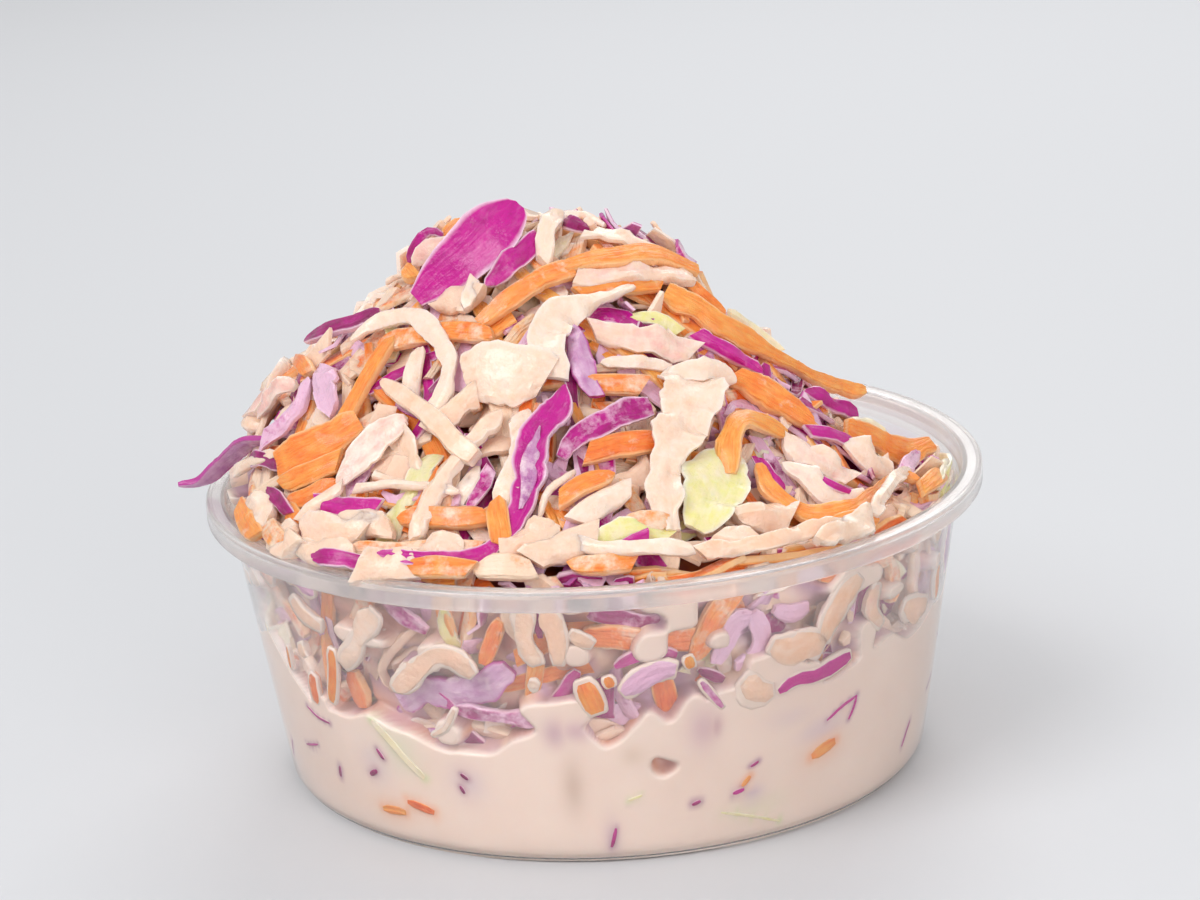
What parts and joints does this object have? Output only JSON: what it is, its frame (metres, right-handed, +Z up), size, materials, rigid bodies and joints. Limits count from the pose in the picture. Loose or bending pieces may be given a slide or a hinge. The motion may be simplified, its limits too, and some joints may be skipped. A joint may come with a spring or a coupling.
{
  "type": "coleslaw",
  "caption": "Coleslaw in a clear round tub: shredded carrot with red, white and green cabbage heaped above the rim over a pool of pink dressing.",
  "frame": {"origin": "centre of the tub's flat base, where it stands on the table", "axes": "+Z up along the tub's axis, -Y towards the side shown in front, +X to the right of that view"},
  "size_m": [0.1223, 0.118, 0.0868],
  "materials": {
    "clear_plastic": "clear thin plastic, slightly hazy, milky at the rim",
    "dressing": "smooth creamy pinkish-beige dressing",
    "mixed_slaw": "moist shredded vegetables coated with dressing",
    "carrot": "moist cut carrot",
    "white_cabbage": "moist cream-white cabbage",
    "green_cabbage": "moist pale yellow-green cabbage leaf",
    "pink_cabbage": "pale cabbage stained pink by the dressing",
    "red_cabbage": "glossy magenta cabbage skin"
  },
  "bodies": {
    "root": {"tub": "clear_plastic", "dressing": "dressing", "slaw_heap": "mixed_slaw", "cabbage_leaf_top": "red_cabbage", "cabbage_curl_front": "red_cabbage", "cabbage_strip_centre": "red_cabbage", "cabbage_flap_white": "white_cabbage", "cabbage_leaf_green": "green_cabbage", "carrot_strip_bent": "carrot", "carrot_strip_loop": "carrot", "carrot_strip_long": "carrot", "carrot_wedge_right": "carrot", "carrot_strip_rim": "carrot", "carrot_strip_top": "carrot", "carrot_strip_crown": "carrot", "cabbage_chunk_white": "white_cabbage", "cabbage_arc_white": "white_cabbage", "cabbage_stick_white": "white_cabbage", "carrot_ribbon_left": "carrot", "cabbage_leaf_pink": "pink_cabbage", "cabbage_shred_rim": "red_cabbage", "cabbage_shred_left": "red_cabbage"}
  },
  "joints": []
}
